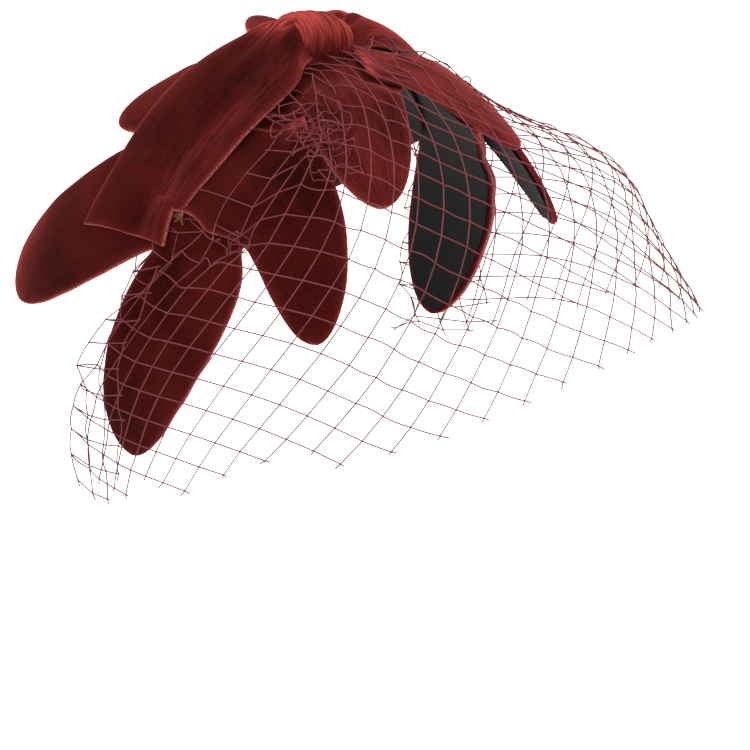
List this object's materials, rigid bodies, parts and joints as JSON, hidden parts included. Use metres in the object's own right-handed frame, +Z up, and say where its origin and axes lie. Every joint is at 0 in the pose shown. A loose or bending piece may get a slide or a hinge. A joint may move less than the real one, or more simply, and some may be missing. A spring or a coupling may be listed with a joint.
{
  "type": "half hat",
  "caption": "Velvet half hat of lapped leaf shapes under a flat bow, lined in black, with a coarse diamond net veil that falls from the bow to eye level.",
  "frame": {"origin": "where the hat sits on the top of the head, at the highest point of the head under the base band", "axes": "+Z up, the front with the veil towards -Y, the wearer's right towards -X"},
  "size_m": [0.2006, 0.1936, 0.1308],
  "materials": {
    "velvet": "wine-red pile velvet",
    "lining": "matt black woven lining",
    "net": "soft mauve-red net thread"
  },
  "bodies": {
    "root": {"base_band": "lining", "leaf_front_right": "velvet", "lining_front_right": "lining", "leaf_front_left": "velvet", "lining_front_left": "lining", "leaf_temple_right": "velvet", "lining_temple_right": "lining", "leaf_temple_left": "velvet", "lining_temple_left": "lining", "leaf_side_right": "velvet", "lining_side_right": "lining", "leaf_side_left": "velvet", "lining_side_left": "lining", "leaf_back_right": "velvet", "lining_back_right": "lining", "leaf_back_left": "velvet", "lining_back_left": "lining", "leaf_crown_right": "velvet", "lining_crown_right": "lining", "leaf_crown_left": "velvet", "lining_crown_left": "lining", "bow_ribbon": "velvet", "bow_knot": "velvet", "veil": "net"}
  },
  "joints": []
}
